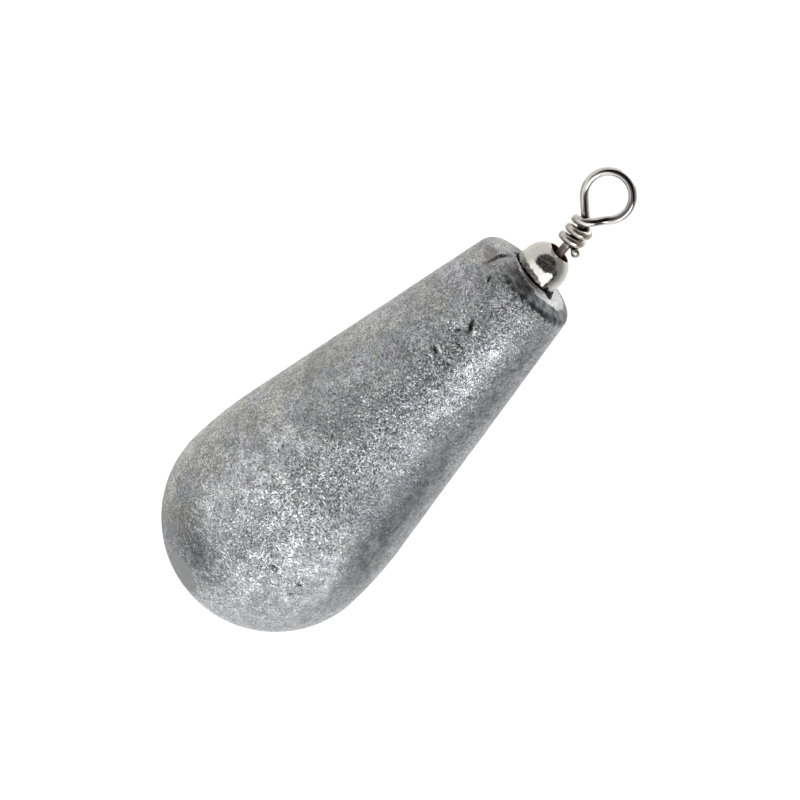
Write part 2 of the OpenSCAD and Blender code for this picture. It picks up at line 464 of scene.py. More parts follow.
    def top_marks(self, g: NodeGraph, where: Socket, lead: CastLead) -> tuple[Socket, Socket]:
        """Finds the dark, smooth skin round the top, whose darkness is partly a painted reflection,
        and the paler lip in it, a painted highlight.

        Args:
            g: The graph that takes the nodes.
            where: The place in millimetres.
            lead: The lead, for the skin's lower edge and the lip's place.

        Returns:
            The shares of the skin and of the lip.
        """
        side, front, height = g.node("SeparateXYZ", {0: where}).outputs
        from_lip = g.maths("SUBTRACT", side, lead.lip_shift)
        radius = g.length(g.node("CombineXYZ", {"X": from_lip, "Y": front}).outputs[0])
        ragged = g.ramp(g.clouds(where, 1.6, 3, 0.4).outputs[0], 0.3, 0.7, -0.18, 0.18)
        border = g.maths("ADD", g.maths("MULTIPLY_ADD", side, 0.06, height), ragged)
        collar = g.ramp(border, lead.collar_height - 0.12, lead.collar_height + 0.12)
        # The dark top fades out towards the left.
        worn = g.ramp(g.maths("ADD", side, ragged), -3.4, -1.6, 0.05, 1.0)
        collar = g.maths("MULTIPLY", collar, worn)
        reach = g.maths("ADD", radius, g.maths("MULTIPLY", ragged, 0.8))
        lip = g.maths("MULTIPLY", collar, g.ramp(reach, lead.lip_r + 0.1, lead.lip_r - 0.1))
        return collar, lip

    def flakes(self, g: NodeGraph, where: Socket) -> tuple[Socket, Socket]:
        """Draws the crystals: grains, each with long flakes in a direction of its own.

        Args:
            g: The graph that takes the nodes.
            where: The place in millimetres.

        Returns:
            Each flake's tilt, as a vector from -1 to 1, and fine strokes along the flakes.
        """
        bend = g.clouds(where, 1.5, 2).outputs["Color"]
        moved = g.vector("MULTIPLY_ADD", bend, (1.2,) * 3, where).outputs[0]
        grains = g.node("TexVoronoi", {"Vector": moved, "Scale": self.grains_per_mm})
        own_way = {"Vector": where, "Rotation": g.scaled(grains.outputs["Color"], math.tau)}
        turned = g.node("VectorRotate", own_way, rotation_type="EULER_XYZ").outputs[0]
        long = (self.flakes_per_mm,) * 2 + (self.flakes_per_mm / self.flake_length,)
        lined = g.node("Mapping", {"Vector": turned, "Scale": long}).outputs[0]
        cells = g.node("TexVoronoi", {"Vector": lined, "Scale": 1.0}).outputs["Color"]
        flake = g.vector("MULTIPLY_ADD", cells, (2, 2, 2), (-1, -1, -1)).outputs[0]
        return flake, g.clouds(lined, 0.8, 2, 0.3).outputs[0]


@dataclass(frozen=True)
class PlateFinish:
    """Polished nickel plate with rubbing marks, over brass that shows in the hollow.

    The heights are in millimetres above the lead's rim: the foot's, dulled by the lead and painted
    dark as its reflection, and the gap's, painted black as shadow.
    """

    plate: Colour = (0.64, 0.62, 0.575, 1)
    haze: Colour = (0.56, 0.53, 0.48, 1)
    peel: Colour = (0.35, 0.33, 0.29, 1)
    # The foot's greys: a painted reflection of the lead's dark top, mottled and paler to the left.
    foot_reflection: Colour = (0.022, 0.022, 0.02, 1)
    mottled_foot_reflection: Colour = (0.15, 0.147, 0.135, 1)
    pale_foot_reflection: Colour = (0.34, 0.33, 0.29, 1)
    # Bare brass, dark partly from tarnish and partly as painted shade inside the barrel.
    brass: Colour = (0.20, 0.095, 0.05, 1)
    brass_stain: Colour = (0.09, 0.045, 0.03, 1)
    # The gap line, painted near black as shadow.
    gap: float = 0.004
    foot_height: float = 0.62
    gap_height: float = 0.08
    relief: float = 0.025

    def make(self, rim: Vector, stem_way: Vector) -> bpy.types.Material:
        """Builds the plate outside the barrel, dulled by lead at its foot, where the lead's dark top
        is painted as a reflection, and with the gap's shadow painted black.

        Args:
            rim: The middle of the lead's rim round the barrel, in millimetres.
            stem_way: The barrel's own direction up.

        Returns:
            The material.
        """
        material, g = new_material("nickel_plate")
        where = g.millimetres()
        from_rim = g.vector("SUBTRACT", where, tuple(rim)).outputs[0]
        above = g.vector("DOT_PRODUCT", from_rim, tuple(stem_way)).outputs["Value"]
        ragged = g.ramp(g.clouds(where, 2.5, 3).outputs[0], 0.3, 0.7, -0.09, 0.09)
        above = g.maths("ADD", above, ragged)
        side = g.node("SeparateXYZ", {0: from_rim}).outputs[0]
        tapered = g.maths("ADD", above, g.ramp(side, 0.2, 1.5, 0.0, 0.5))
        foot = g.ramp(tapered, self.foot_height + 0.06, self.foot_height - 0.06)
        # Where the gap's shadow is painted black.
        gap = g.ramp(above, self.gap_height + 0.04, self.gap_height - 0.04)
        haze = g.clouds(where, 0.9, 3, 0.5).outputs[0]
        rubs = {"Vector": where, "Rotation": (0.3, 0.5, 0), "Scale": (9.0, 9.0, 0.8)}
        lines = g.clouds(g.node("Mapping", rubs).outputs[0], 2.0, 3).outputs[0]
        orange_peel = g.clouds(where, 3.2, 5, 0.4).outputs[0]
        rise = g.maths("ADD", g.maths("MULTIPLY", lines, 0.25), orange_peel)
        colour = g.blend(g.ramp(haze, 0.45, 0.7, 0.0, 0.5), self.plate, self.haze)
        colour = g.blend(g.ramp(orange_peel, 0.55, 0.75, 0.0, 0.35), colour, self.peel)
        # The foot's painted reflection of the lead's dark top.
        foot_reflection = g.blend(g.ramp(orange_peel, 0.42, 0.62), self.foot_reflection, self.mottled_foot_reflection)
        foot_reflection = g.blend(g.ramp(side, -1.1, -2.0), foot_reflection, self.pale_foot_reflection)
        colour = g.blend(g.maths("MULTIPLY", foot, 0.92), colour, foot_reflection)
        colour = g.blend(gap, colour, grey(self.gap))
        shader = g.node("BsdfPrincipled", {
            "Base Color": colour,
            "Metallic": 1.0,
            "Roughness": g.between(foot, g.ramp(haze, 0.35, 0.7, 0.06, 0.15), 0.3),
            "Normal": g.bump(0.8, self.relief, rise),
        })
        g.node("OutputMaterial", {"Surface": shader.outputs[0]})
        return material

    def make_hollow(self) -> bpy.types.Material:
        """Builds the bare brass inside the barrel, which the plate doesn't reach, dark partly from
        tarnish and partly as painted shade.

        Returns:
            The material.
        """
        material, g = new_material("bare_brass_painted_shade")
        where = g.millimetres()
        stain = g.clouds(where, 1.8, 4, 0.5).outputs[0]
        shader = g.node("BsdfPrincipled", {
            "Base Color": g.blend(g.ramp(stain, 0.35, 0.65), self.brass, self.brass_stain),
            "Metallic": 0.9,
            "Roughness": g.ramp(stain, 0.3, 0.7, 0.3, 0.5),
            "Normal": g.bump(0.4, self.relief * 0.8, g.clouds(where, 6.0, 3).outputs[0]),
        })
        g.node("OutputMaterial", {"Surface": shader.outputs[0]})
        return material


@dataclass(frozen=True)
class WireFinish:
    """Bright plated steel wire, drawn along its length and duller where it was wound."""

    bright: Colour = (0.66, 0.64, 0.61, 1)
    dull: Colour = (0.66, 0.63, 0.575, 1)
    stain: Colour = (0.34, 0.30, 0.265, 1)
    # The stem below the turns, painted dark as shade under the barrel's mouth.
    stem: Colour = (0.17, 0.13, 0.115, 1)
    # A dark line painted along the wire's front as a reflection.
    painted_reflection_streak: Colour = (0.065, 0.062, 0.06, 1)
    # Soiling and painted shade between the turns.
    grime_and_painted_shade: Colour = (0.06, 0.045, 0.038, 1)
    cut: float = 0.07
    stem_roughness: float = 0.6
    lines_over_wire: tuple[float, float, float] = (12.0, 26.0, 1.0)
    relief: float = 0.02

    def make(self, wire: WireEye) -> bpy.types.Material:
        """Builds a wire's material.

        Args:
            wire: The wire, whose turns are duller, darkened in between by soiling and painted shade,
                and whose loop is bright.

        Returns:
            The material.
        """
        material, g = new_material(wire.name)
        where = g.millimetres()
        head, up = wire.place.translation, (wire.place.to_3x3() @ UP).normalized()
        arm = g.vector("SUBTRACT", where, tuple(head)).outputs[0]
        height = g.vector("DOT_PRODUCT", arm, tuple(up)).outputs["Value"]
        beside = g.vector("CROSS_PRODUCT", arm, tuple(up)).outputs[0]
        reach = g.length(beside)
        top = wire.loop_reach - wire.cross_drop + wire.wire_d / 2
        foot = wire.wrap_top - wire.wrap_pitch * wire.wrap_turns
        wound = g.ramp(height, top + 0.3, top - 0.3)
        middle, half = (top + foot) / 2, (top - foot) / 2
        from_middle = g.maths("ABSOLUTE", g.maths("SUBTRACT", height, middle))
        inside = g.ramp(from_middle, half + 0.25, half - 0.15)
        deep = g.maths("MULTIPLY", inside, g.ramp(reach, wire.wrap_r + 0.04, wire.wrap_r - 0.25))
        along = {"Vector": g.node("TexCoord").outputs["UV"], "Scale": self.lines_over_wire}
        lines = g.clouds(g.node("Mapping", along).outputs[0], 1.0, 3).outputs[0]
        stain = g.clouds(where, 2.4, 3, 0.6).outputs[0]
        colour = g.blend(wound, self.bright, self.dull)
        stained = g.maths("MULTIPLY", g.ramp(stain, 0.42, 0.66), g.ramp(wound, 0.0, 1.0, 0.2, 0.75))
        colour = g.blend(stained, colour, self.stain)
        # The stem below the turns, darkened by the worn share, is painted dark as shade and mottled
        # by stain.
        low = g.maths("MULTIPLY", g.ramp(height, foot + 0.1, foot - 0.3), g.ramp(reach, 0.55, 0.45))
        worn = g.maths("MULTIPLY", low, g.ramp(stain, 0.36, 0.6, 0.98, 0.8))
        colour = g.blend(worn, colour, self.stem)
        # A dark reflection line painted along the front, faint on the turns; drawn carries that
        # line.
        drawn = g.maths("ADD", g.mark(MARK_PAINTED_REFLECTION), g.ramp(lines, 0.3, 0.7, -0.02, 0.02))
        kept = g.ramp(wound, 0.0, 1.0, 0.95, 0.12)
        drawn = g.maths("MULTIPLY", g.ramp(drawn, 0.845, 0.895), kept)
        colour = g.blend(drawn, colour, self.painted_reflection_streak)
        # Inside the turns: soiling and painted shade.
        colour = g.blend(deep, colour, self.grime_and_painted_shade)
        colour = g.blend(g.ramp(g.mark(MARK_CUT), 0.4, 0.9), colour, grey(self.cut, 0.05))
        rough = g.between(wound, 0.10, g.ramp(stain, 0.35, 0.7, 0.22, 0.36))
        grit = g.maths("MULTIPLY", g.clouds(where, 9.0, 3).outputs[0], wound)
        rise = g.maths("ADD", g.maths("MULTIPLY", lines, 0.5), grit)
        shader = g.node("BsdfPrincipled", {
            "Base Color": colour,
            "Metallic": 1.0,
            "Roughness": g.between(low, rough, self.stem_roughness),
            "Normal": g.bump(0.3, self.relief, rise),
        })
        g.node("OutputMaterial", {"Surface": shader.outputs[0]})
        return material


@dataclass(frozen=True)
class Spot:
    """A soft-edged spot on the lead: its place, its half length and half width, and its depth.

    In a nick the depth is in millimetres, and below zero it is a burr. In a spot of painted light it
    is how far the skin is lightened, in doublings, and below zero it is darkened as painted shade.
    The turn goes from the front to the right, and the slant from straight up towards the right, both
    in degrees.
    """

    height: float
    turn: float
    length: float
    width: float
    depth: float
    slant: float = 0.0

    def depth_at(self, height: float, turn: float, radius: float) -> float:
        """Gives the spot's depth at a point of the skin.

        Args:
            height: The point's height, which goes on over the top as a length.
            turn: Its turn from the front to the right, in degrees.
            radius: Its distance from the axis.

        Returns:
            The depth, which fades to nothing outside the spot.
        """
        up = height - self.height
        if abs(up) > 2 * (self.length + self.width):
            return 0.0
        swing = (turn - self.turn + 180) % 360 - 180
        across = math.radians(swing) * radius
        lean = math.radians(self.slant)
        along = (up * math.cos(lean) + across * math.sin(lean)) / self.length
        aside = (across * math.cos(lean) - up * math.sin(lean)) / self.width
        far = along * along + aside * aside
        return self.depth * math.exp(-SPOT_FALL * far) if far < SPOT_EDGE else 0.0


@dataclass(frozen=True)
class Facet:
    """A flat clipped or rubbed on the lead.

    It is turned from the front to the right and tilted from level. Its depth is measured from the
    round skin, its rubbed share marks it for the finish, and its bow is how far it falls back a
    millimetre to the side of its middle.
    """

    turn: float
    tilt: float
    depth: float
    rubbed: float = 0.0
    bow: float = 0.0

    def out(self) -> Vector:
        """Gives the flat's outward direction."""
        turn, tilt = math.radians(self.turn), math.radians(self.tilt)
        level = math.sin(tilt)
        return Vector((level * math.sin(turn), -level * math.cos(turn), math.cos(tilt)))

    def over(self, place: Vector, reach: float) -> float:
        """Tells how far a point stands over the flat.

        Args:
            place: The point in millimetres, measured from the foot.
            reach: How far the round skin reaches in the flat's direction.

        Returns:
            The distance, below zero where the point lies under the flat.
        """
        turn = math.radians(self.turn)
        across = place.x * math.cos(turn) + place.y * math.sin(turn)
        return place.dot(self.out()) - (reach - self.depth) - self.bow * across * across


@dataclass
class BarrelSizes:
    """The swivel barrel's sizes and its seat in the lead.

    The stand is the height of its round end's centre over the lead's rim. The head rise is how far
    below the lower round end's centre the lower wire's head runs.
    """

    outer_d: float = 4.4
    straight: float = 3.0
    wall: float = 0.45
    mouth_d: float = 2.0
    stand: float = 0.9
    shift: float = 0.2
    lean: float = 3.0
    lip_bevel: float = 0.1
    head_rise: float = 0.514

    def place(self, lead_height: float) -> Matrix:
        """Gives the place of the upper round end's centre, and the barrel's lean to the right."""
        seat = Matrix.Translation((self.shift, 0, lead_height + self.stand))
        return seat @ Matrix.Rotation(math.radians(self.lean), 4, "Y")


@dataclass
class CastLead:
    """The pear of lead, as one skin: its flank, its top, the shrink gap and the seat of the barrel.

    Its own frame starts at the foot. An outline is spun and its skin is roughened inwards. Only
    burrs stand out of it, by no more than their limits, and none at the belly's widest.
    """

    foot: Vector
    barrel: BarrelSizes
    belly_d: float = 20.5
    height: float = 43.4
    flank_curve_r: float = 36.3
    flank_slope: float = 10.0
    shoulder_r: float = 1.4
    top_slope: float = 13.0
    gate: Facet = Facet(90, 26, 0.25)
    shoulder_rub: Facet = Facet(-50, 36, 0.32, 1.0, 0.08)
    foot_rub: Facet = Facet(-20, 139, 0.26, 0.58)
    # Where the spot of painted shade beside the barrel lies on the top.
    blob_turn: float = 58.0
    blob_from_axis: float = 2.75
    blob_lift: float = 0.2
    gap: float = 0.1
    gap_depth: float = 0.4
    gap_lip: float = 0.12
    seat_clearance: float = 0.01
    seat_depth: float = 12.0
    seam_turn: float = 62.0
    steps: int = 320
    spacing: float = 0.192
    collar_height: float = 42.4
    lip_shift: float = 0.9
    lip_r: float = 3.1
    burr_limit: float = 0.12
    top_burr_limit: float = 0.36
    scattered_nicks: int = 190
    nicks: list[Spot] = field(default_factory=lambda: [
        Spot(37.7, -4, 0.75, 0.17, 0.34, -34),
        Spot(37.55, 1.5, 0.5, 0.2, -0.16, -34),
        Spot(37.3, -11, 0.65, 0.16, -0.16, -62),
        Spot(36.6, -8, 0.6, 0.4, 0.08, -60),
        Spot(34.4, -7, 0.52, 0.17, -0.18, -72),
        Spot(34.0, -9, 0.58, 0.17, 0.26, -72),
        Spot(35.45, -16, 0.44, 0.12, -0.1, -80),
        Spot(41.4, -26, 0.5, 0.14, 0.26, -40),
        Spot(41.2, -20, 0.45, 0.16, -0.08, -40),
        Spot(35.8, 2, 0.75, 0.5, 0.13, 85),
        Spot(33.9, 5, 0.7, 0.4, 0.13, 68),
        Spot(37.4, 28, 0.6, 0.45, -0.1, 80),
        Spot(35.1, 32, 0.5, 0.45, 0.09, 0),
        Spot(35.1, 32, 0.22, 0.2, -0.12, 0),
        Spot(32.8, 14, 0.8, 0.3, -0.07, 60),
        Spot(31.5, -20, 0.4, 0.15, 0.1, 20),
        Spot(26.3, 8, 0.38, 0.15, 0.2, -45),
        Spot(22.4, -12, 0.5, 0.16, 0.12, 70),
        Spot(18.3, 12, 0.45, 0.15, 0.12, -20),
        Spot(16.2, 7, 0.6, 0.3, -0.04, 60),
        Spot(13.8, -18, 0.65, 0.35, -0.04, -50),
        Spot(10.6, 18, 0.5, 0.1, 0.27, 90),
        Spot(10.9, 19, 0.5, 0.14, -0.1, 90),
        Spot(10.7, 34, 0.5, 0.11, 0.3, 100),
        Spot(11.0, 35, 0.5, 0.14, -0.1, 100),
        Spot(9.4, 36, 0.45, 0.1, 0.24, 105),
        Spot(7.1, -19, 2.2, 1.6, 0.08, 60),
        Spot(43.5, -49, 2.1, 0.3, 0.24, -27),
        Spot(45.75, -88, 0.16, 0.25, 0.3, 0),
        Spot(45.5, 58, 0.32, 0.45, -0.42, 0),
    ])
    # Soft spots of painted light and shade, in doublings of the grey.
    painted_light_spots: list[Spot] = field(default_factory=lambda: [
        Spot(40, 2, 13, 2.0, -0.38, 0),
        Spot(38, -16, 1.5, 1.5, 0.55, 0),
        Spot(37, 49, 4, 1.8, -0.35, 30),
        Spot(33, 27, 4, 1.8, 0.7, 0),
        Spot(25, -39, 8, 2, 0.32, 0),
        Spot(24, 55, 14, 2, -0.65, 0),
        Spot(19, -27, 4, 1.8, 0.55, 60),
        Spot(17, 33, 1.5, 1.5, 0.45, 0),
        Spot(16, 59, 4, 1.8, -0.4, -30),
        Spot(15, -16, 4, 4, 0.75, 0),
        Spot(13, 41, 4, 1.8, 0.75, -30),
        Spot(13, 17, 4, 1.8, 0.5, -30),
        Spot(10, -28, 4, 1.8, 0.65, 90),
        Spot(9, 0, 4, 1.8, -0.34, 30),
        Spot(8, -35, 4, 1.8, -0.4, -30),
        Spot(8, -65, 4, 1.8, 0.5, -30),
        Spot(6, -14, 4, 1.8, -0.7, 90),
        Spot(37, 31, 14, 2.0, 0.25, 0),
        Spot(12, -15, 2.5, 2.5, 0.22, 0),
        Spot(11, 33, 7, 5, 0.2, 0),
        Spot(0, -16, 8, 4, 0.3, 90),
    ])

    def __post_init__(self) -> None:
        """Works out the shoulder, the seat and the spot of painted shade beside the barrel, and
        scatters small nicks over the skin.
        """
        belly_r = self.belly_d / 2
        self.seat_bottom = self.height - self.seat_depth
        slope, top = math.radians(self.flank_slope), math.radians(self.top_slope)
        self.flank_out = Vector((math.cos(slope), math.sin(slope)))
        self.top_out = Vector((math.sin(top), math.cos(top)))
        self.curve_centre = Vector((belly_r - self.flank_curve_r, belly_r))
        self.curve_end = self.curve_centre + self.flank_curve_r * self.flank_out
        self.rim = Vector((self.barrel.outer_d / 2 + self.gap, self.height))
        flank = self.flank_out.dot(self.curve_end) - self.shoulder_r
        face = self.top_out.dot(self.rim) - self.shoulder_r
        cross = self.flank_out.x * self.top_out.y - self.flank_out.y * self.top_out.x
        self.shoulder = Vector((
            (self.top_out.y * flank - self.flank_out.y * face) / cross,
            (self.flank_out.x * face - self.top_out.x * flank) / cross,
        ))
        turn, reach = math.radians(self.blob_turn), self.blob_from_axis
        blob_top = self.height + self.blob_lift
        self.painted_shade_spot = Vector((reach * math.sin(turn), -reach * math.cos(turn), blob_top))
        chance = random.Random(7)
        self.scattered = [
            Spot(
                chance.uniform(3, 41), chance.uniform(-180, 180), chance.uniform(0.25, 0.7),
                chance.uniform(0.13, 0.22), chance.uniform(-0.07, 0.12), chance.uniform(-90, 90),
            )
            for _ in range(self.scattered_nicks)
        ]

    def outline(self) -> Outline:
        """Draws the skin's outline, from the foot over the rim and down the barrel's seat.

        Returns:
            The points from the foot on the axis to the seat's lowest point on the axis.
        """
        belly_r, step, lip = self.belly_d / 2, self.spacing, self.gap_lip
        points = [(0.0, 0.0)] + arc((0, belly_r), belly_r, -90, 0, step)[1:]
        points += arc(tuple(self.curve_centre), self.flank_curve_r, 0, self.flank_slope, step)[1:]
        shoulder_from = self.shoulder + self.shoulder_r * self.flank_out
        points += straight(tuple(self.curve_end), tuple(shoulder_from), step)
        bend = (self.flank_slope, 90 - self.top_slope)
        points += arc(tuple(self.shoulder), self.shoulder_r, *bend, step * 0.7)
        lip_fall = lip * math.tan(math.radians(self.top_slope))
        points += straight(points[-1], (self.rim.x + lip, self.rim.y - lip_fall), step * 0.6)
        points += arc((self.rim.x + lip, self.rim.y - lip), lip, 90, 180, lip / 3)
        gap_foot = self.height - self.gap_depth
        seat_r = self.barrel.outer_d / 2 + self.seat_clearance
        round_z = self.height + self.barrel.stand - self.barrel.straight
        points += [(self.rim.x, gap_foot), (seat_r, gap_foot), (seat_r, round_z)]
        points += arc((0, round_z), seat_r, 0, -90, step * 2)[1:-1]
        return points + [(0.0, round_z - seat_r)]

    def seat_share(self, radius: float, height: float) -> float:
        """Tells how far a point follows the leaning barrel instead of the lead's own axis.

        Args:
            radius: The point's distance from the axis.
            height: Its height.

        Returns:
            The share, 1 in the seat and 0 at the shoulder and below.
        """
        if height < self.seat_bottom or radius > self.shoulder.x + 1:
            return 0.0
        return 1 - smooth_step(radius, self.rim.x + 0.15, self.shoulder.x + 0.5)

    def skin_depth(self, point: Vector, radius: float, turn: float) -> float:
        """Tells how far the cast skin lies inside the drawn outline, before any nick.

        Args:
            point: A point on the drawn outline in millimetres, measured from the foot.
            radius: Its distance from the axis.
            turn: Its turn from the front to the right, in degrees.

        Returns:
            The depth along the normal.
        """
        waves = 0.02 * (1 + noise.noise(point / 5.5))
        dents = 0.014 * (1 + noise.noise(point / 1.9 + UP * 9))
        grain = 0.007 * (1 + noise.noise(point / 0.6 + UP * 31))
        grain *= 1 - 0.7 * smooth_step(point.z, self.collar_height - 0.6, self.collar_height + 0.4)
        seam = min(abs((turn - self.seam_turn + 90) % 180 - 90) * math.radians(1) * radius, 1.0)
        ridge = 0.04 * math.exp(-((seam / 0.16) ** 2)) * smooth_step(point.z, 3, 8)
        from_lip = math.hypot(point.x - self.lip_shift, point.y)
        slope = smooth_step(from_lip, self.lip_r - 0.15, self.lip_r + 0.35)
        sink = 0.07 * slope * smooth_step(point.z, self.height - 0.9, self.height - 0.5)
        return max(0.0, waves + dents + grain - ridge) + sink

    def nick_depth(self, point: Vector, radius: float, turn: float) -> float:
        """Tells how deep nicks cut the skin at a point.

        Args:
            point: A point on the drawn outline in millimetres, measured from the foot.
            radius: Its distance from the axis.
            turn: Its turn from the front to the right, in degrees.

        Returns:
            The depth, below zero where a burr stands up.
        """
        climb = point.z
        if climb > self.shoulder.y:
            climb += max(0.0, self.shoulder.x + 0.9 - radius)
        every = self.nicks + self.scattered
        near = (nick for nick in every if abs(climb - nick.height) < SPOT_REACH)
        return sum(nick.depth_at(climb, turn, radius) for nick in near)

    def facets(self) -> list[tuple[Facet, float]]:
        """Gives the flats on the shoulder and the belly.

        Returns:
            Each flat, and how far the round skin reaches in its direction.
        """
        made = []
        for flat in (self.gate, self.shoulder_rub):
            lean = math.radians(flat.tilt)
            reach = math.sin(lean) * self.shoulder.x + math.cos(lean) * self.shoulder.y
            made.append((flat, reach + self.shoulder_r))
        belly_reach = self.belly_d / 2 * (1 + math.cos(math.radians(self.foot_rub.tilt)))
        return made + [(self.foot_rub, belly_reach)]

    def roughen(self, mesh: bmesh.types.BMesh) -> None:
        """Sinks the cast relief, the nicks and the flats into the skin outside the barrel's seat.

        The finish reads the marks that this leaves: how hollow and rubbed a point is, and how far
        painted light and shade lighten or darken it.

        Args:
            mesh: The spun skin.
        """
        hollow = mesh.verts.layers.float.new(MARK_HOLLOW)
        rubbed = mesh.verts.layers.float.new(MARK_RUBBED)
        painted_light = mesh.verts.layers.float.new(MARK_PAINTED_LIGHT)
        mesh.normal_update()
        flats = self.facets()
        moves = []
        for vert in mesh.verts:
            radius = math.hypot(vert.co.x, vert.co.y)
            if radius < self.rim.x + 0.005 and vert.co.z > self.seat_bottom:
                vert[hollow] = 1.0
                continue
            turn = math.degrees(math.atan2(vert.co.x, -vert.co.y))
            nick = self.nick_depth(vert.co, radius, turn)
            on_top = vert.co.z > self.height - 0.6
            limit = self.top_burr_limit if on_top else self.burr_limit
            burr = min(limit, max(0.0, self.belly_d / 2 - 0.3 - radius))
            depth = max(self.skin_depth(vert.co, radius, turn) + nick, -burr)
            place = vert.co - vert.normal * depth
            vert[hollow] = nick
            # How far painted light and shade lighten or darken the skin here.
            vert[painted_light] = sum(spot.depth_at(vert.co.z, turn, radius) for spot in self.painted_light_spots)
            for flat, reach in flats:
                over = flat.over(place, reach) + 0.012 * noise.noise(place / 0.8)
                if over > 0:
                    place = place - flat.out() * over
                    vert[rubbed] = flat.rubbed
            moves.append((vert, place))
        for vert, place in moves:
            vert.co = place

    def lean_seat(self, mesh: bmesh.types.BMesh) -> None:
        """Moves the seat and the rim to the place and lean of the barrel.

        Args:
            mesh: The roughened skin.
        """
        upright = Matrix.Translation((0, 0, -self.height - self.barrel.stand))
        leaned = self.barrel.place(self.height) @ upright
        for vert in mesh.verts:
            share = self.seat_share(math.hypot(vert.co.x, vert.co.y), vert.co.z)
            if share:
                vert.co = vert.co.lerp(leaned @ vert.co, share)

    def build(self, finish: CastLeadFinish) -> bpy.types.Object:
        """Builds the lead and dresses it.

        Args:
            finish: The lead's finish.

        Returns:
            The piece.
        """
        mesh = bmesh.new()
        lathe(mesh, self.outline(), self.steps)
        bmesh.ops.recalc_face_normals(mesh, faces=mesh.faces[:])
        self.roughen(mesh)
        self.lean_seat(mesh)
        piece = finish_mesh(mesh, "cast_lead", Matrix.Translation(self.foot))
        piece.data.materials.append(finish.make(self))
        hand_over(piece, Body.WEIGHT, Slot.CAST_LEAD, "lead_body")
        return piece


@dataclass
class SwivelBarrel:
    """The plated barrel: a drawn tube, spun shut at both ends down to a mouth for the wire."""

    sizes: BarrelSizes
    place: Matrix
    steps: int = 128
    outside_spacing: float = 0.08
    inside_spacing: float = 0.15

    def outline(self) -> Outline:
        """Draws the wall as a closed ring.

        Returns:
            The points, outside first, from the upper mouth down and back up inside.
        """
        outer_r, mouth_r = self.sizes.outer_d / 2, self.sizes.mouth_d / 2
        hollow_r = outer_r - self.sizes.wall
        bevel, low = self.sizes.lip_bevel, -self.sizes.straight
        lip_r = mouth_r + bevel * 0.9
        outside = math.degrees(math.acos(lip_r / outer_r))
        inside = math.degrees(math.acos(mouth_r / hollow_r))
        edge_z = math.sqrt(outer_r**2 - mouth_r**2) - bevel
        upper = arc((0, 0), outer_r, outside, 0, self.outside_spacing)
        lower = arc((0, low), outer_r, 0, -outside, self.outside_spacing)
        walls = upper + straight(upper[-1], lower[0], 0.3) + lower
        back = [(mouth_r + bevel * 0.3, low - edge_z - bevel * 0.55), (mouth_r, low - edge_z)]
        back += arc((0, low), hollow_r, -inside, 0, self.inside_spacing)
        back += straight((hollow_r, low), (hollow_r, 0), 0.5)
        back += arc((0, 0), hollow_r, 0, inside, self.inside_spacing)
        back += [(mouth_r, edge_z), (mouth_r + bevel * 0.3, edge_z + bevel * 0.55)]
        return walls + back + [upper[0]]

    def build(self, finish: PlateFinish) -> bpy.types.Object:
        """Builds the barrel, with plate outside and bare brass in its hollow.

        Args:
            finish: The barrel's finish.

        Returns:
            The piece.
        """
        mesh = bmesh.new()
        lathe(mesh, self.outline(), self.steps)
        inner = self.sizes.outer_d / 2 - self.sizes.wall * 0.6
        lip_r = self.sizes.mouth_d / 2 + self.sizes.lip_bevel * 1.2
        for face in mesh.faces:
            middle = face.calc_center_median()
            over = max(0.0, middle.z, -self.sizes.straight - middle.z)
            radius = math.hypot(middle.x, middle.y)
            face.material_index = int(math.hypot(radius, over) < inner or radius < lip_r)
        piece = finish_mesh(mesh, "swivel_barrel_plated", self.place)
        rim = self.place @ Vector((0, 0, -self.sizes.stand))
        piece.data.materials.append(finish.make(rim, self.place.to_3x3() @ UP))
        piece.data.materials.append(finish.make_hollow())
        hand_over(piece, Body.WEIGHT, Slot.PLATED_BARREL, "swivel_barrel")
        return piece


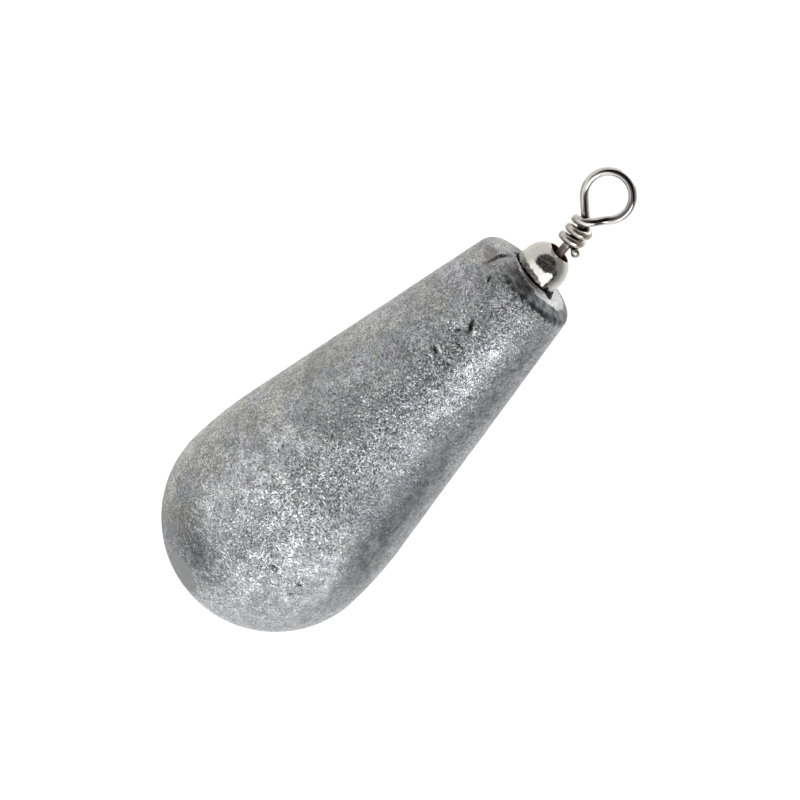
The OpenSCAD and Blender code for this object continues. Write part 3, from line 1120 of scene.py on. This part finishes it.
@dataclass
class WireEye:
    """One wire, as one unbroken route: its head, the stem, the loop and the turns round the stem.

    Its own frame starts at the head's centre, with the stem along +Z and the front facing -Y.
    """

    name: str
    node: str
    body: Body
    place: Matrix
    wire_d: float = 0.77
    head_d: float = 2.6
    head_base: float = 0.9
    loop_w: float = 3.44
    loop_h: float = 3.56
    loop_reach: float = 8.4
    cross_drop: float = 2.95
    wrap_turns: float = 2.92
    wrap_pitch: float = 0.92
    wrap_gap: float = 0.06
    tail: float = 0.8
    leg_angle: float = 43.0
    loop_end: float = -48.0
    cross_at: float = 90.0
    cross_lift_share: float = 0.35
    first_swing_share: float = 0.1
    cut_bevel_share: float = 0.09
    drawn_share: float = 0.98
    # The way that the painted reflection line faces, and how much thinner it is at the left.
    painted_reflection_way: tuple[float, float, float] = (-0.1, -0.94, 0.31)
    painted_reflection_thinning: float = 0.065
    turn_steps: int = 72
    stem_steps: int = 12
    bend_steps: int = 16
    leg_steps: int = 8
    bridge_steps: int = 24
    tail_steps: int = 3
    head_steps: int = 48
    facets: int = 24

    def __post_init__(self) -> None:
        """Works out the loop's half sizes and where the left leg and the turns begin."""
        self.loop_a = (self.loop_w + self.wire_d) / 2
        self.loop_b = (self.loop_h + self.wire_d) / 2
        self.wrap_r = self.wire_d + self.wrap_gap
        self.cross_lift = self.wire_d * self.cross_lift_share
        self.first_swing = self.wire_d * self.first_swing_share
        self.wrap_top = self.loop_reach - self.cross_drop + self.wrap_pitch / 4 - self.cross_lift

    def loop_point(self, angle: float) -> Vector:
        """Gives a point on the loop, at an angle from the right."""
        turn = math.radians(angle)
        rise = self.loop_b * math.sin(turn)
        return Vector((self.loop_a * math.cos(turn), 0, self.loop_reach + rise))

    def wrap_point(self, angle: float) -> Vector:
        """Gives a point on the turns.

        Args:
            angle: Its angle from the right of the stem towards the front, in degrees, which goes on
                from turn to turn.

        Returns:
            The point, a little higher and wider before the turns have closed up.
        """
        turn = math.radians(angle)
        lift = max(0.0, (180 - angle) / (180 - self.cross_at))
        swing = smooth_step(360 - angle, 0, 360 - self.cross_at)
        return Vector((
            self.wrap_r * math.cos(turn) - self.first_swing * swing,
            -self.wrap_r * math.sin(turn),
            self.wrap_top - self.wrap_pitch * angle / 360 + self.cross_lift * lift * lift,
        ))

    @staticmethod
    def joined(
        start: Vector, start_way: Vector, end: Vector, end_way: Vector, share: float
    ) -> Vector:
        """Gives a point on the smooth bridge from one stretch of the wire to the next.

        Args:
            start: Where the bridge leaves the first stretch.
            start_way: The first stretch's direction there.
            end: Where it meets the next stretch.
            end_way: The next stretch's direction there.
            share: How far along the bridge the point is, from 0 to 1.

        Returns:
            The point.
        """
        reach = (end - start).length
        eased = share * share * (3 - 2 * share)
        lead_in = start_way.normalized() * reach * share * (1 - share) ** 2
        lead_out = end_way.normalized() * reach * share**2 * (1 - share)
        return start * (1 - eased) + end * eased + lead_in - lead_out

    def route(self) -> list[Vector]:
        """Walks the wire's middle.

        Returns:
            The points from the head's centre to the cut end.
        """
        lean = math.radians(self.leg_angle)
        reach = math.hypot(self.loop_a * math.cos(lean), self.loop_b * math.sin(lean))
        leg_top = Vector((
            -self.loop_a**2 * math.cos(lean) / reach, 0,
            self.loop_reach - self.loop_b**2 * math.sin(lean) / reach,
        ))
        stem = self.loop_reach - reach / math.sin(lean) - self.wire_d * math.tan(lean / 2)
        steps = self.stem_steps
        points = [Vector((0, 0, stem * i / steps)) for i in range(steps + 1)]
        steps = self.bend_steps
        points += [
            Vector((-self.wire_d * (1 - math.cos(a)), 0, stem + self.wire_d * math.sin(a)))
            for a in (lean * i / steps for i in range(1, steps + 1))
        ]
        bend_end, steps = points[-1], self.leg_steps
        points += [bend_end.lerp(leg_top, i / steps) for i in range(1, steps + 1)]
        left_down = math.atan2(-self.loop_b * math.sin(lean), -self.loop_a * math.cos(lean))
        start = math.degrees(left_down) + 360
        steps, swing = self.turn_steps * 3 // 2, self.loop_end - start
        points += [self.loop_point(start + swing * i / steps) for i in range(1, steps + 1)]
        low = math.radians(self.loop_end)
        loop_way = Vector((self.loop_a * math.sin(low), 0, -self.loop_b * math.cos(low)))
        cross_fall = self.wrap_pitch / math.tau + self.cross_lift * 4 / math.pi
        cross_way = Vector((-self.wrap_r, 0, -cross_fall))
        leaving = (self.loop_point(self.loop_end), loop_way)
        arriving = (self.wrap_point(self.cross_at), cross_way)
        steps = self.bridge_steps
        points += [self.joined(*leaving, *arriving, i / steps) for i in range(1, steps + 1)]
        last = self.wrap_turns * 360
        steps = round(self.turn_steps * (self.wrap_turns - self.cross_at / 360))
        swing = last - self.cross_at
        points += [self.wrap_point(self.cross_at + swing * i / steps) for i in range(1, steps + 1)]
        end = math.radians(last)
        tail_way = Vector((
            -self.wrap_r * math.sin(end), -self.wrap_r * math.cos(end), -self.wrap_pitch / math.tau,
        )).normalized()
        cut, steps = points[-1], self.tail_steps
        return points + [cut + tail_way * self.tail * i / steps for i in range(1, steps + 1)]

    def sweep(self) -> bpy.types.Mesh:
        """Sweeps the round wire along its route.

        Returns:
            The mesh, with its own map along and round the wire.
        """
        curve = bpy.data.curves.new(self.name, "CURVE")
        curve.dimensions = "3D"
        curve.bevel_depth = self.wire_d / 2 * self.drawn_share
        curve.bevel_resolution = (self.facets - 4) // 2
        curve.use_fill_caps = True
        route = self.route()
        spline = curve.splines.new("POLY")
        spline.points.add(len(route) - 1)
        for point, place in zip(spline.points, route):
            point.co = (*place, 1)
        holder = bpy.data.objects.new(self.name, curve)
        bpy.context.scene.collection.objects.link(holder)
        graph = bpy.context.evaluated_depsgraph_get()
        swept = bpy.data.meshes.new_from_object(holder.evaluated_get(graph))
        bpy.data.objects.remove(holder)
        bpy.data.curves.remove(curve)
        return swept

    def build(
        self, finish: bpy.types.Material, head_finish: bpy.types.Material
    ) -> bpy.types.Object:
        """Builds the wire and its head as one piece.

        Args:
            finish: The wire's material.
            head_finish: The head's material.

        Returns:
            The piece.
        """
        mesh = bmesh.new()
        mesh.from_mesh(self.sweep())
        bmesh.ops.remove_doubles(mesh, verts=mesh.verts[:], dist=WELD)
        caps = [face for face in mesh.faces if len(face.verts) > 4]
        ends = [face for face in caps if face.calc_center_median().z > self.head_d]
        rims = list({edge for face in ends for edge in face.edges})
        bmesh.ops.bevel(
            mesh, geom=rims, offset=self.wire_d * self.cut_bevel_share,
            affect="EDGES", segments=2, profile=0.5, material=-1,
        )
        self.mark(mesh)
        before = set(mesh.faces)
        self.add_head(mesh)
        for face in mesh.faces:
            face.material_index = int(face not in before)
        piece = finish_mesh(mesh, self.name, self.place)
        piece.data.materials.append(finish)
        piece.data.materials.append(head_finish)
        hand_over(piece, self.body, Slot.WIRE, self.node)
        return piece

    def mark(self, mesh: bmesh.types.BMesh) -> None:
        """Marks the cut ends, and a painted reflection line along the front, where the wire faces a
        fixed way, thinner at the left.

        Args:
            mesh: The swept wire.
        """
        painted_reflection_streak = mesh.verts.layers.float.new(MARK_PAINTED_REFLECTION)
        cut = mesh.verts.layers.float.new(MARK_CUT)
        mesh.normal_update()
        way = Vector(self.painted_reflection_way).normalized()
        for vert in mesh.verts:
            at_left = smooth_step(-vert.co.x, 0.6, 1.6)
            vert[painted_reflection_streak] = vert.normal.dot(way) - self.painted_reflection_thinning * at_left
        for face in mesh.faces:
            if len(face.verts) > 4:
                for vert in face.verts:
                    vert[cut] = 1.0

    def add_head(self, mesh: bmesh.types.BMesh) -> None:
        """Adds the upset head: a ball with its foot pressed flat, its edge rounded.

        Args:
            mesh: The mesh that takes the head.
        """
        radius = self.head_d / 2
        foot = math.degrees(math.asin(self.head_base / radius))
        flat_r = math.sqrt(radius**2 - self.head_base**2)
        outline = [(flat_r * share, -self.head_base) for share in (0.0, 0.5, 0.92)]
        outline += arc((0, 0), radius, -foot * 0.97, 90, 0.12)[:-1] + [(0.0, radius)]
        lathe(mesh, outline, self.head_steps)


@dataclass(frozen=True)
class Softbox:
    """A soft lamp: its place as seen from the sinker, its size in metres and its power in watts."""

    name: str
    turn: float
    rise: float
    distance: float
    width: float
    height: float
    power: float

    def place(self, aim: Vector) -> None:
        """Hangs the lamp.

        Args:
            aim: The point that it faces.
        """
        turn, rise = math.radians(self.turn), math.radians(self.rise)
        level = math.cos(rise)
        way = Vector((math.sin(turn) * level, -math.cos(turn) * level, math.sin(rise)))
        lamp = bpy.data.lights.new(self.name, "AREA")
        lamp.shape, lamp.energy = "RECTANGLE", self.power
        lamp.size, lamp.size_y = self.width, self.height
        holder = bpy.data.objects.new(self.name, lamp)
        holder.location = aim + way * self.distance
        holder.rotation_euler = (-way).to_track_quat("-Z", "Y").to_euler()
        bpy.context.scene.collection.objects.link(holder)


@dataclass
class Studio:
    """The stage: the camera at the photograph's angle, a pale floor, soft lamps and a white room.

    Its lengths are in metres. The scale is what a pixel spans at the aim, and the aim pixel is
    where the aim lies in the photograph.
    """

    aim: Vector
    rise: float = 19.0
    axis_slope: float = 43.5
    distance: float = 0.4
    scale: float = 0.0885 * MM
    aim_pixel: tuple[float, float] = (367.4, 430.4)
    frame: int = 800
    floor_depth: float = 0.42
    floor_r: float = 4.0
    lamps: tuple[Softbox, ...] = (
        Softbox("right_softbox", 48, -8, 0.6, 0.32, 0.4, 1.15),
        Softbox("top_softbox", 176, 50, 0.7, 0.5, 0.5, 0.9),
    )

    def directions(self) -> tuple[Vector, Vector, Vector]:
        """Works out how the picture lies in the part's frame.

        Returns:
            The picture's right, its up and the way back to the camera.
        """
        rise, slope = math.radians(self.rise), math.radians(self.axis_slope)
        back = Vector((0, -math.cos(rise), math.sin(rise)))
        tall, wide = Vector((0, math.sin(rise), math.cos(rise))), Vector((1, 0, 0))
        right = tall * math.cos(slope) + wide * math.sin(slope)
        up = tall * math.sin(slope) - wide * math.cos(slope)
        return right, up, back

    def add_camera(self) -> None:
        """Adds the camera, turned so that the sinker's foot lies at the picture's lower left."""
        right, up, back = self.directions()
        middle = self.frame / 2
        across = (middle - self.aim_pixel[0]) * self.scale
        rise = (self.aim_pixel[1] - middle) * self.scale
        target = self.aim + right * across + up * rise
        place = self.aim + back * self.distance
        out = (place - target).normalized()
        side = up.cross(out).normalized()
        turn = Matrix((side, out.cross(side), out)).transposed().to_4x4()
        camera = bpy.data.cameras.new("camera")
        camera.sensor_width = 36
        camera.lens = camera.sensor_width * self.distance / self.scale / self.frame
        camera.clip_start, camera.clip_end = 0.01, 20
        holder = bpy.data.objects.new("camera", camera)
        holder.matrix_world = Matrix.Translation(place) @ turn
        bpy.context.scene.collection.objects.link(holder)
        bpy.context.scene.camera = holder

    def mirrored_room(self, g: NodeGraph, way: Socket) -> Socket:
        """Gives what the room shows in a reflection that leaves the sinker in a direction.

        It is dark round the camera, grey at the sides and white behind the sinker, with a bright
        low strip in front.

        Args:
            g: The graph that takes the nodes.
            way: The direction, as a unit vector.

        Returns:
            The colour.
        """
        right, up, back = self.directions()
        side, depth, rise = g.node("SeparateXYZ", {0: way}).outputs
        behind = g.vector("DOT_PRODUCT", way, tuple(back)).outputs["Value"]
        turn = g.maths("ARCTAN2", side, g.maths("MULTIPLY", depth, -1.0))
        walls = g.blend(g.ramp(side, -0.55, 0.45), grey(0.85, 0.01), grey(0.31, -0.01))
        room = g.blend(g.ramp(behind, 0.1, -0.8), walls, grey(0.95))
        lens = (back + right * 0.14 + up * 0.14).normalized()
        near = g.vector("DOT_PRODUCT", way, tuple(lens)).outputs["Value"]
        mottle = g.ramp(g.clouds(way, 9.0, 4, 0.8).outputs[0], 0.45, 0.66)
        shadows = g.blend(mottle, grey(0.008), grey(0.24, 0.05))
        room = g.blend(g.ramp(near, 0.56, 0.70), room, shadows)
        low = g.blend(g.ramp(turn, -1.2, 0.0), grey(0.55), grey(1.2))
        low = g.blend(g.ramp(turn, 1.5, 2.2), low, grey(0.98))
        room = g.blend(g.ramp(rise, -0.36, -0.46), room, low)
        strip = g.maths("MULTIPLY", g.ramp(rise, -0.50, -0.40), g.ramp(rise, 0.03, -0.05))
        strip = g.maths("MULTIPLY", strip, g.ramp(turn, -1.08, -0.95))
        strip = g.maths("MULTIPLY", strip, g.ramp(turn, 1.09, 1.03))
        room = g.blend(strip, room, g.blend(g.ramp(turn, -0.9, 0.9), grey(1.25), grey(1.6)))
        edge = g.maths("MULTIPLY", g.ramp(turn, 1.06, 1.09), g.ramp(turn, 1.44, 1.36))
        edge = g.maths("MULTIPLY", edge, g.ramp(g.maths("ABSOLUTE", rise), 0.6, 0.5))
        return g.blend(edge, room, grey(0.03))

    def add_floor(self) -> None:
        """Adds the round pale floor, far enough below to keep the hanging sinker's shadow soft."""
        mesh = bmesh.new()
        bmesh.ops.create_circle(mesh, cap_ends=True, radius=self.floor_r / MM, segments=96)
        low = Matrix.Translation((0, 0, -self.floor_depth / MM))
        floor = finish_mesh(mesh, "floor", low)
        if floor.data.polygons[0].normal.z < 0:
            floor.data.flip_normals()
        material, g = new_material("pale_floor")
        where = g.node("TexCoord").outputs["Object"]
        colour = g.blend(g.clouds(where, 40.0, 3).outputs[0], grey(0.86), grey(0.9))
        matt = g.node("BsdfDiffuse", {"Color": colour}).outputs[0]
        lift = g.node("Emission", {"Color": grey(1.0), "Strength": 0.45}).outputs[0]
        lit = g.node("AddShader", {0: matt, 1: lift}).outputs[0]
        arm = g.vector("SUBTRACT", where, tuple(self.aim)).outputs[0]
        way = g.vector("NORMALIZE", arm).outputs[0]
        room = {"Color": self.mirrored_room(g, way), "Strength": 1.0}
        mirrored = g.node("Emission", room).outputs[0]
        path = g.node("LightPath").outputs
        share = g.maths("MAXIMUM", path["Is Glossy Ray"], path["Is Transmission Ray"])
        plain = g.node("MixShader", {0: path["Is Camera Ray"], 1: matt, 2: lit}).outputs[0]
        surface = g.node("MixShader", {0: share, 1: plain, 2: mirrored}).outputs[0]
        g.node("OutputMaterial", {"Surface": surface})
        floor.data.materials.append(material)

    def add_room(self) -> None:
        """Makes the world: white to the eye, the room in reflections and soft light elsewhere."""
        world = bpy.data.worlds.new("white_room")
        world.use_nodes = True
        bpy.context.scene.world = world
        g = NodeGraph(world.node_tree)
        way = g.vector("NORMALIZE", g.node("TexCoord").outputs["Generated"]).outputs[0]
        path = g.node("LightPath").outputs
        mirrored = g.maths("MAXIMUM", path["Is Glossy Ray"], path["Is Transmission Ray"])
        seen = g.blend(mirrored, grey(0.7), self.mirrored_room(g, way))
        seen = g.blend(path["Is Camera Ray"], seen, grey(1.0))
        backdrop = g.node("Background", {"Color": seen, "Strength": 1.0})
        g.node("OutputWorld", {"Surface": backdrop.outputs[0]})

    def build(self) -> None:
        """Sets the stage."""
        self.add_camera()
        self.add_floor()
        self.add_room()
        for lamp in self.lamps:
            lamp.place(self.aim)
        bpy.context.scene.view_settings.view_transform = "Standard"
        log.info("studio: camera, floor, room and lamps")


def main() -> None:
    """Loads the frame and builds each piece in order."""
    logging.basicConfig(level=logging.INFO, format="%(name)s: %(message)s")
    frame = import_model()
    low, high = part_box("lead_body")
    foot = Vector(((low.x + high.x) / 2, 0, low.z)) / MM
    sizes = BarrelSizes()
    lead = CastLead(foot, sizes)
    lead.build(CastLeadFinish())

    barrel_place = Matrix.Translation(foot) @ sizes.place(lead.height)
    plate = PlateFinish()
    barrel = SwivelBarrel(sizes, barrel_place)
    barrel.build(plate)

    spin = frame["joints"][0]
    head, stem_way = Vector(spin["pos_m"]) / MM, Vector(spin["axis"])
    upright = UP.rotation_difference(stem_way).to_matrix().to_4x4()
    # The wire heads take the dark brass, painted as shade inside the barrel.
    head_finish = plate.make_hollow()
    line_place = Matrix.Translation(head) @ upright
    wire_finish = WireFinish()
    line_eye = WireEye("line_eye_wire", "line_eye", Body.EYE, line_place)
    line_eye.build(wire_finish.make(line_eye), head_finish)
    head_low = Matrix.Translation((0, 0, sizes.straight + sizes.head_rise))
    anchor_place = barrel_place @ Matrix.Diagonal((1, 1, -1, 1)) @ head_low
    anchor = WireEye("anchor_eye_wire", "anchor_eye", Body.WEIGHT, anchor_place)
    anchor.build(wire_finish.make(anchor), head_finish)

    Studio(aim=(foot + UP * AIM_HEIGHT) * MM).build()


if __name__ == "__main__":
    main()
